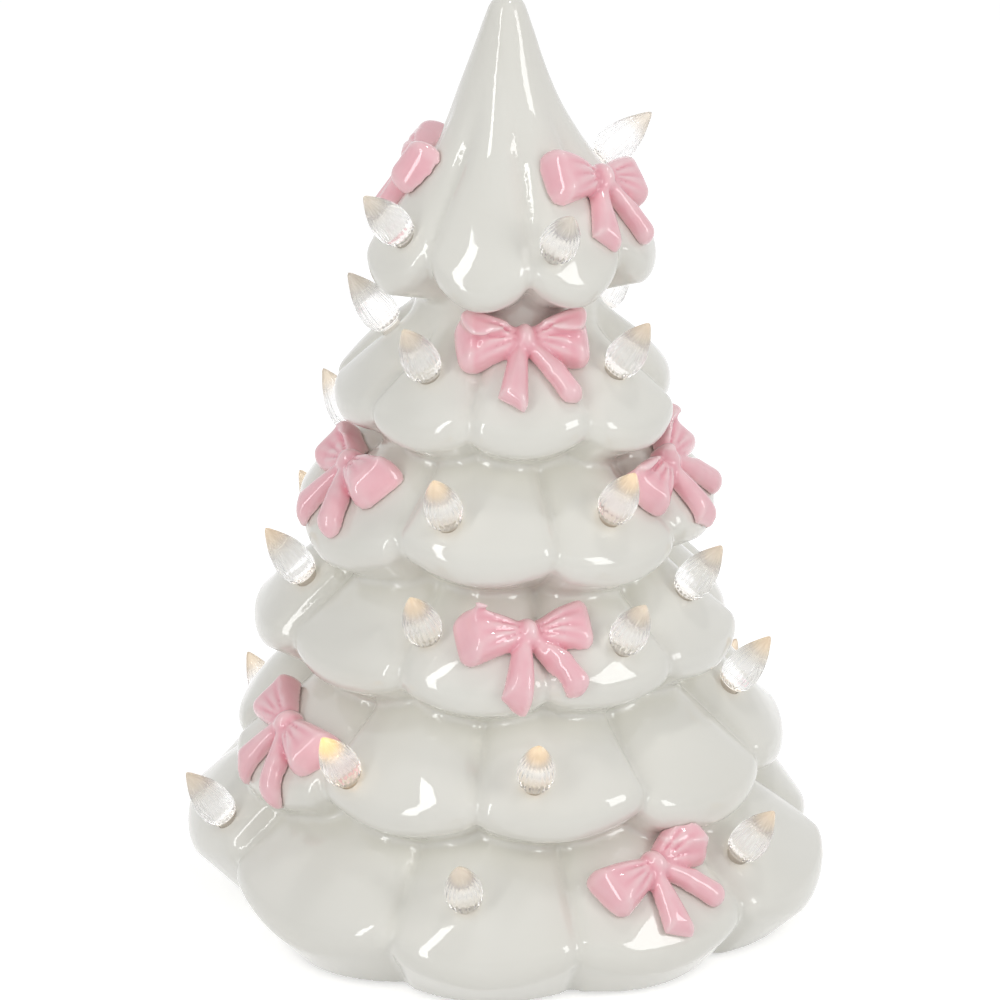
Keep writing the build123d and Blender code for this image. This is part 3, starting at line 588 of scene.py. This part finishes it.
def tail_distance(u, v, above):
    """Both tails: a broad blunt one to the left and a rounded one that bends to the right."""
    end_u, end_v = LEFT_TAIL[1]
    cut_u, cut_v, cut = TAIL_CUT
    blunt = (u - end_u) * cut_u + (v - end_v) * cut_v - cut
    left = np.maximum(strip_distance(u, v, *LEFT_TAIL), blunt)
    right = smooth_union(strip_distance(u, v, *RIGHT_TAIL), strip_distance(u, v, *RIGHT_TAIL_END), 1.0)
    return np.minimum(puffed(left, *LEFT_TAIL_FORM, above), puffed(right, *RIGHT_TAIL_FORM, above))


def bow_distance(u, v, w):
    """Distance to a bow in its own coordinates: right, up and above the glaze."""
    above = w - BOW_MIDDLE
    loops = np.minimum(loop_distance(u, v, above, 1.0), loop_distance(u, v, above, -1.0))
    wide, tall, thick = KNOT
    knot = (np.sqrt((u / wide) ** 2 + ((v - KNOT_RISE) / tall) ** 2 + (above / thick) ** 2) - 1.0) * wide
    form = smooth_union(loops, tail_distance(u, v, above), 0.7)
    return smooth_union(form, knot, 0.8)


def bow_frame(bearing, height, roll):
    """Seat point of a bow on the body, with its right, up and outward directions."""
    turn = radians(bearing)
    radius = FAR_RADIUS
    for _ in range(60):
        point = np.array([radius * sin(turn), -radius * cos(turn), height])
        radius -= body_distance(point[None, :])[0]
    steps = 0.4 * np.eye(3)
    out = body_distance(point + steps) - body_distance(point - steps)
    out /= np.linalg.norm(out)
    right = np.array([cos(turn), sin(turn), 0.0])
    right -= (right @ out) * out
    right /= np.linalg.norm(right)
    up = np.cross(out, right)
    lean = radians(roll)
    return point, cos(lean) * right + sin(lean) * up, cos(lean) * up - sin(lean) * right, out


def ribbon_bow(name, place):
    """One bow, pressed to the boughs that it sits on."""
    point, right, up, out = bow_frame(*place)
    axes = [np.arange(low, high + BOW_STEP, BOW_STEP) for low, high in zip(BOW_LOW, BOW_HIGH)]
    u, v, n = np.meshgrid(*axes, indexing="ij")
    world = point + u[..., None] * right + v[..., None] * up + n[..., None] * out
    close = [bough for bough in BOUGHS if np.linalg.norm(bough_middle(bough) - point) < BOW_REACH]
    above = body_distance(world, close)
    w = np.clip(BOW_FOLLOW * above + (1.0 - BOW_FOLLOW) * n, n - BOW_CLIMB, n + BOW_SAG)
    values = np.maximum(bow_distance(u, v, w), (BOW_GAP - above) * 0.9)
    for axis in range(3):
        border = np.moveaxis(values, axis, 0)
        border[[0, 1, -2, -1]] = np.maximum(border[[0, 1, -2, -1]], BOW_STEP)
    local, quads = skin(values, BOW_LOW, BOW_STEP)
    for _ in range(2):
        local = 0.5 * local + 0.5 * relaxed(local, quads)
    points = point + local[:, :1] * right + local[:, 1:2] * up + local[:, 2:] * out
    bow = mesh_object(name, points, quads)
    normals = point_normals(points, quads)
    drift = relaxed(relaxed(relaxed(points, quads), quads), quads) - points
    ridge = np.clip(0.5 - (drift * normals).sum(axis=1) * 2.2, 0.0, 1.0)
    bow.data.attributes.new("ridge", "FLOAT", "POINT").data.foreach_set("value", ridge)
    return bow


# Bulbs

def bulb_tree(material):
    """Geometry Nodes tree of one fluted bulb: a turned form with flutes round it, set in its hole."""
    tree = bpy.data.node_groups.new("fluted_bulb", "GeometryNodeTree")
    for name, kind, value in (
        ("Seat", "NodeSocketVector", (0.0, 0.0, 0.0)), ("Lean", "NodeSocketVector", (0.0, 0.0, 0.0)),
        ("Glow", "NodeSocketFloat", 0.5), ("Flutes", "NodeSocketInt", FLUTES),
        ("Flute Depth", "NodeSocketFloat", FLUTE_DEPTH * MM),
    ):
        socket = tree.interface.new_socket(name, in_out="INPUT", socket_type=kind)
        socket.default_value = value
    tree.interface.new_socket("Mesh", in_out="OUTPUT", socket_type="NodeSocketGeometry")
    given = add(tree, "NodeGroupInput").outputs
    whole = PEG_LENGTH + BULB_LENGTH
    line = add(tree, "GeometryNodeCurvePrimitiveLine", {
        "Start": (0.0, 0.0, -PEG_LENGTH * MM), "End": (0.0, 0.0, BULB_LENGTH * MM),
    })
    path = add(tree, "GeometryNodeResampleCurve", {"Curve": line.outputs[0], "Count": BULB_RINGS})
    share = add(tree, "GeometryNodeSplineParameter").outputs["Factor"]
    profile = add(tree, "ShaderNodeFloatCurve", {"Value": share})
    curve = profile.mapping.curves[0]
    while len(curve.points) < len(BULB_PROFILE):
        curve.points.new(0.5, 0.5)
    for point, (height, radius) in zip(curve.points, BULB_PROFILE):
        point.location = ((height + PEG_LENGTH) / whole, radius / PROFILE_SPAN)
        point.handle_type = "AUTO_CLAMPED"
    profile.mapping.update()
    radius = maths(tree, "MULTIPLY", profile.outputs[0], PROFILE_SPAN * MM)
    ring = add(tree, "GeometryNodeCurvePrimitiveCircle", {"Resolution": BULB_SIDES, "Radius": 1.0})
    swept = add(tree, "GeometryNodeCurveToMesh", {
        "Curve": path.outputs[0], "Profile Curve": ring.outputs[0], "Scale": radius, "Fill Caps": True,
    })
    place = add(tree, "ShaderNodeSeparateXYZ", {0: add(tree, "GeometryNodeInputPosition").outputs[0]})
    x, y, z = place.outputs
    turn = maths(tree, "ARCTAN2", y, x)
    wave = maths(tree, "COSINE", maths(tree, "MULTIPLY", turn, given["Flutes"]))
    valley = ranged(tree, wave, -1.0, 1.0, 0.0, -1.0)
    start = ranged(tree, z, FLUTE_START[0] * MM, FLUTE_START[1] * MM, 0.0, 1.0, "SMOOTHSTEP")
    end = ranged(tree, z, FLUTE_END[0] * MM, FLUTE_END[1] * MM, 1.0, FLUTE_LEFT, "SMOOTHSTEP")
    depth = maths(tree, "MULTIPLY", maths(tree, "MULTIPLY", valley, start), end)
    depth = maths(tree, "MULTIPLY", depth, given["Flute Depth"])
    flat = add(tree, "ShaderNodeCombineXYZ", {0: x, 1: y, 2: 0.0}).outputs[0]
    out = add(tree, "ShaderNodeVectorMath", {0: flat}, operation="NORMALIZE").outputs[0]
    push = add(tree, "ShaderNodeVectorMath", {0: out, "Scale": depth}, operation="SCALE").outputs[0]
    fluted = add(tree, "GeometryNodeSetPosition", {"Geometry": swept.outputs[0], "Offset": push})
    height = ranged(tree, z, 0.0, BULB_LENGTH * MM, 0.0, 1.0)
    lit = fluted
    for attribute, value in (("height", height), ("glow", given["Glow"])):
        lit = add(tree, "GeometryNodeStoreNamedAttribute", {
            "Geometry": lit.outputs[0], "Name": attribute, "Value": value,
        }, data_type="FLOAT", domain="POINT")
    smooth = add(tree, "GeometryNodeSetShadeSmooth", {"Geometry": lit.outputs[0]})
    stood = add(tree, "GeometryNodeTransform", {
        "Geometry": smooth.outputs[0], "Translation": given["Seat"], "Rotation": given["Lean"]})
    whole_mesh = add(tree, "GeometryNodeRealizeInstances", {"Geometry": stood.outputs[0]})
    dressed = add(tree, "GeometryNodeSetMaterial", {"Geometry": whole_mesh.outputs[0], "Material": material})
    add(tree, "NodeGroupOutput", {0: dressed.outputs[0]})
    return tree


def fluted_bulb(name, tree, seat, axis, glow):
    """One bulb made by the tree, in its hole."""
    carrier = mesh_object("carrier", np.zeros((1, 3)), [])
    nodes_in = carrier.modifiers.new("bulb", "NODES")
    nodes_in.node_group = tree
    lean = Vector(axis).to_track_quat("Z", "Y").to_euler()
    sockets = {item.name: item.identifier for item in tree.interface.items_tree if item.in_out == "INPUT"}
    nodes_in[sockets["Seat"]] = [float(value) for value in seat * MM]
    nodes_in[sockets["Lean"]] = list(lean)
    nodes_in[sockets["Glow"]] = glow
    bulb = plain_mesh(carrier, name)
    discard(carrier)
    return bulb


# Materials

def white_glaze():
    """Earthenware under a clear gloss glaze: warm white, greyer in the creases, partly from glaze pooling
    there and partly as painted shade, with a few iron specks.
    """
    material, tree = new_material("white_gloss_glaze")
    place = add(tree, "ShaderNodeTexCoord").outputs["Object"]
    crease = add(tree, "ShaderNodeAttribute", attribute_name="crease").outputs["Fac"]
    cloud = add(tree, "ShaderNodeTexNoise", {"Vector": place, "Scale": 38.0, "Detail": 3.0})
    tone = blended(tree, cloud.outputs["Fac"], linear("#EEEDE6"), linear("#E8E6DD"))
    # Greyer in the creases: partly glaze pooling there and partly painted shade where the creases fall into
    # shadow.
    pooled_glaze_and_shade = maths(tree, "MULTIPLY", crease, 0.35)
    tone = blended(tree, pooled_glaze_and_shade, tone, linear("#CFCCBE"))
    dots = add(tree, "ShaderNodeTexVoronoi", {"Vector": place, "Scale": 55.0, "Randomness": 1.0})
    size = add(tree, "ShaderNodeSeparateColor", {0: dots.outputs["Color"]}).outputs[0]
    reach = ranged(tree, size, 0.86, 1.0, 0.0, 0.022)
    speck = maths(tree, "LESS_THAN", dots.outputs["Distance"], reach)
    speck = maths(tree, "MULTIPLY", speck, 0.75)
    tone = blended(tree, speck, tone, linear("#6B5A45"))
    ripple = add(tree, "ShaderNodeTexNoise", {"Vector": place, "Scale": 160.0, "Detail": 2.0})
    bump = add(tree, "ShaderNodeBump", {"Height": ripple.outputs["Fac"], "Strength": 0.03, "Distance": 0.001})
    shine = ranged(tree, cloud.outputs["Fac"], 0.3, 0.7, 0.025, 0.05)
    finish_material(tree, add(tree, "ShaderNodeBsdfPrincipled", {
        "Base Color": tone, "Roughness": shine, "IOR": 1.52, "Normal": bump.outputs[0],
        "Coat Weight": 0.5, "Coat Roughness": 0.015}))
    return material


def pink_glaze():
    """Coloured gloss glaze on small modelled bows: thin and paler on the ridges, deeper in the folds."""
    material, tree = new_material("pink_gloss_glaze")
    place = add(tree, "ShaderNodeTexCoord").outputs["Object"]
    ridge = add(tree, "ShaderNodeAttribute", attribute_name="ridge").outputs["Fac"]
    cloud = add(tree, "ShaderNodeTexNoise", {"Vector": place, "Scale": 170.0, "Detail": 3.0}).outputs["Fac"]
    lean = maths(tree, "MULTIPLY_ADD", cloud, 0.25, ridge)
    ramp = add(tree, "ShaderNodeValToRGB", {"Fac": lean})
    for stop, (place_on, colour) in zip(
        (ramp.color_ramp.elements[0], ramp.color_ramp.elements.new(0.6), ramp.color_ramp.elements[-1]),
        ((0.3, "#EC9CAA"), (0.62, "#F8BAC4"), (0.98, "#FDDADD")),
    ):
        stop.position = place_on
        stop.color = linear(colour)
    finish_material(tree, add(tree, "ShaderNodeBsdfPrincipled", {
        "Base Color": ramp.outputs[0], "Roughness": 0.05, "IOR": 1.52,
        "Coat Weight": 0.5, "Coat Roughness": 0.015}))
    return material


def clear_bulb():
    """Clear moulded acrylic with a translucent tip, lit from below: the tip glows amber, its amber in the base
    colour and a faint amber ring at the foot are painted glow, and a faint glow over the whole bulb is painted
    light.
    """
    material, tree = new_material("clear_acrylic_bulb")
    height = add(tree, "ShaderNodeAttribute", attribute_name="height").outputs["Fac"]
    glow = add(tree, "ShaderNodeAttribute", attribute_name="glow").outputs["Fac"]
    tip = ranged(tree, height, 0.52, 0.86, 0.0, 1.0, "SMOOTHSTEP")
    # A faint amber ring at the foot, where light leaks round the bulb's base: painted glow.
    foot = ranged(tree, height, 0.13, 0.04, 0.0, 1.0, "SMOOTHSTEP")
    share = ranged(tree, glow, 0.0, 1.0, 0.3, 1.0)
    # Amber share at the tip and the foot ring, stronger on brighter bulbs; in the base colour it is painted
    # glow.
    amber_glow_share = maths(tree, "MAXIMUM", tip, maths(tree, "MULTIPLY", foot, 0.4))
    amber_glow_share = maths(tree, "MULTIPLY", amber_glow_share, share)
    tint_with_painted_glow = blended(tree, amber_glow_share, linear("#FEFDFC"), linear("#FCE6BE"))
    lit = maths(tree, "MULTIPLY", maths(tree, "MULTIPLY", tip, glow), glow)
    # The tip's glow stands for the lamp's light; the small constant glow over the whole bulb is painted light
    # that brightens the clear body.
    lit = maths(tree, "MULTIPLY_ADD", lit, 0.5, 0.055)
    glow_colour = blended(tree, amber_glow_share, linear("#EDF0F6"), linear("#FFC46B"))
    rough = ranged(tree, tip, 0.0, 1.0, 0.01, 0.16)
    clear = ranged(tree, tip, 0.0, 1.0, 0.90, 0.60)
    finish_material(tree, add(tree, "ShaderNodeBsdfPrincipled", {
        "Base Color": tint_with_painted_glow, "Roughness": rough, "IOR": 1.49, "Transmission Weight": clear,
        "Emission Color": glow_colour, "Emission Strength": lit}))
    return material


def moulded(name, light, dark, roughness, grain, metallic=0.0):
    """A plain moulded, rolled or plated finish with a fine grain; grain is its size in millimetres."""
    material, tree = new_material(name)
    place = add(tree, "ShaderNodeTexCoord").outputs["Object"]
    noise = add(tree, "ShaderNodeTexNoise", {
        "Vector": place, "Scale": 1.0 / (grain * MM), "Detail": 3.0}).outputs["Fac"]
    tone = blended(tree, noise, linear(light), linear(dark))
    rough = ranged(tree, noise, 0.3, 0.7, roughness * 0.85, roughness * 1.15)
    bump = add(tree, "ShaderNodeBump", {"Height": noise, "Strength": 0.12, "Distance": 0.0003}).outputs[0]
    finish_material(tree, add(tree, "ShaderNodeBsdfPrincipled", {
        "Base Color": tone, "Roughness": rough, "Metallic": metallic, "Normal": bump}))
    return material


def dress_inside():
    """Finishes of the pieces in the foot, which keep their own solids."""
    # Moulded ABS with a fine spark-eroded texture, dull and even
    abs_white = moulded("moulded_white_abs", "#E4E3DE", "#DAD8D1", 0.5, 0.8)
    # Black acetal switch knob, a little waxy
    acetal = moulded("black_acetal", "#1B1B1C", "#252526", 0.4, 0.7)
    # Silicone bead, milky and satin
    silicone = moulded("silicone_bead", "#DDDCD6", "#CFCDC6", 0.45, 2.0)
    # Steel can of a cell in a plain printed wrap
    wrap = moulded("cell_wrap", "#3B3F45", "#2F3237", 0.3, 3.0)
    # Nickel-plated spring steel
    nickel = moulded("nickel_plated_steel", "#C9C5BC", "#B8B3A8", 0.28, 0.9, 1.0)
    # Bright zinc
    zinc = moulded("zinc_plated_steel", "#C4C7CC", "#AEB2B8", 0.35, 0.7, 1.0)
    # Glass-fibre board under green solder mask
    board = moulded("green_solder_mask", "#2F6A40", "#27593A", 0.4, 1.2)
    # Epoxy dome of a lamp, warm and clear
    epoxy = moulded("clear_epoxy_lamp", "#F7E3B0", "#F2D795", 0.12, 2.0)
    # PVC-covered hook-up wire
    wire = moulded("red_pvc_wire", "#A52A22", "#8E221C", 0.4, 1.0)
    # Closed-cell foam pads
    foam = moulded("eva_foam_pad", "#D4D2CC", "#C2C0B9", 0.85, 0.5)
    for name, material in (
        ("base_plate", abs_white), ("battery_cover", abs_white), ("sealing_bead", silicone),
        ("battery_cells", wrap), ("contact_plates", nickel), ("contact_springs", nickel),
        ("switch_housing", zinc), ("switch_slider", acetal), ("led_board", board), ("board_screws", zinc),
        ("leds", epoxy), ("wire_battery", wire), ("wire_switch", wire), ("foot_pads", foam),
    ):
        nodes[name].data.materials.clear()
        nodes[name].data.materials.append(material)


# Studio

def soft_box(name, place, width, height, power):
    """A soft box, aimed at the tree."""
    light = bpy.data.lights.new(name, "AREA")
    light.shape = "RECTANGLE"
    light.size, light.size_y, light.energy = width, height, power
    thing = bpy.data.objects.new(name, light)
    thing.location = place
    thing.rotation_euler = (Vector(LAMP_AIM) - Vector(place)).to_track_quat("-Z", "Y").to_euler()
    bpy.context.scene.collection.objects.link(thing)


def white_world():
    """Surroundings that look white and light the tree softly."""
    world = bpy.data.worlds.new("white_studio")
    world.use_nodes = True
    tree = world.node_tree
    tree.nodes.clear()
    strength = ranged(tree, background_rays(tree), 0.0, 1.0, FILL_LIGHT, 1.0)
    sky = add(tree, "ShaderNodeBackground", {"Color": (1.0, 1.0, 1.0, 1.0), "Strength": strength})
    add(tree, "ShaderNodeOutputWorld", {"Surface": sky.outputs[0]})
    return world


def paper_floor():
    """White paper that keeps the shadow, and is clear from below so that the foot can be seen."""
    corners = [(-FLOOR_HALF, -FLOOR_HALF, 0), (FLOOR_HALF, -FLOOR_HALF, 0)]
    corners += [(FLOOR_HALF, FLOOR_HALF, 0), (-FLOOR_HALF, FLOOR_HALF, 0)]
    floor = mesh_object("studio_floor", corners, [[0, 1, 2, 3]])
    material, tree = new_material("white_paper_floor")
    paper = add(tree, "ShaderNodeBsdfDiffuse", {"Color": linear("#EDEDED")}).outputs[0]
    gleam = add(tree, "ShaderNodeEmission", {"Strength": FLOOR_GLEAM}).outputs[0]
    both = add(tree, "ShaderNodeAddShader", {0: paper, 1: gleam}).outputs[0]
    white = add(tree, "ShaderNodeMixShader", {0: background_rays(tree), 1: paper, 2: both}).outputs[0]
    under = add(tree, "ShaderNodeNewGeometry").outputs["Backfacing"]
    clear = add(tree, "ShaderNodeBsdfTransparent").outputs[0]
    finish_material(tree, add(tree, "ShaderNodeMixShader", {0: under, 1: white, 2: clear}))
    floor.data.materials.append(material)
    return floor


def studio():
    """White surroundings, soft boxes, a pale floor and the camera of the photograph."""
    scene = bpy.context.scene
    scene.view_settings.view_transform = "Standard"
    scene.world = white_world()
    paper_floor()
    for name, settings in LAMPS.items():
        soft_box(name, *settings)
    camera = bpy.data.cameras.new("camera")
    camera.sensor_width = CAMERA_SENSOR
    camera.lens = CAMERA_LENS
    camera.shift_x, camera.shift_y = CAMERA_SHIFT
    thing = bpy.data.objects.new("camera", camera)
    height = CAMERA_AIM_HEIGHT + CAMERA_AWAY * sin(CAMERA_RISE)
    thing.location = (0.0, -CAMERA_AWAY * cos(CAMERA_RISE), height)
    thing.rotation_euler = (pi / 2 - CAMERA_RISE, 0.0, 0.0)
    scene.collection.objects.link(thing)
    scene.camera = thing


def make_tree():
    """Every piece of the tree, on its body."""
    seats = bulb_seats()
    body = ceramic_body(seats)
    body.data.materials.append(white_glaze())
    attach(body, "tree")
    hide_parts("tree_shell")

    glaze = pink_glaze()
    for number, place in enumerate(BOWS, start=1):
        bow = ribbon_bow(f"ribbon_bow_{number:02d}", place)
        bow.data.materials.append(glaze)
        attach(bow, "tree")
        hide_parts(f"bow_{number:02d}")

    tree = bulb_tree(clear_bulb())
    for glow, (name, (seat, axis)) in zip(GLOWS, seats.items()):
        bulb = fluted_bulb(f"fluted_{name}", tree, seat, axis, glow)
        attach(bulb, name)
        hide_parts(name)
    dress_inside()


make_tree()
studio()
bpy.context.view_layer.update()
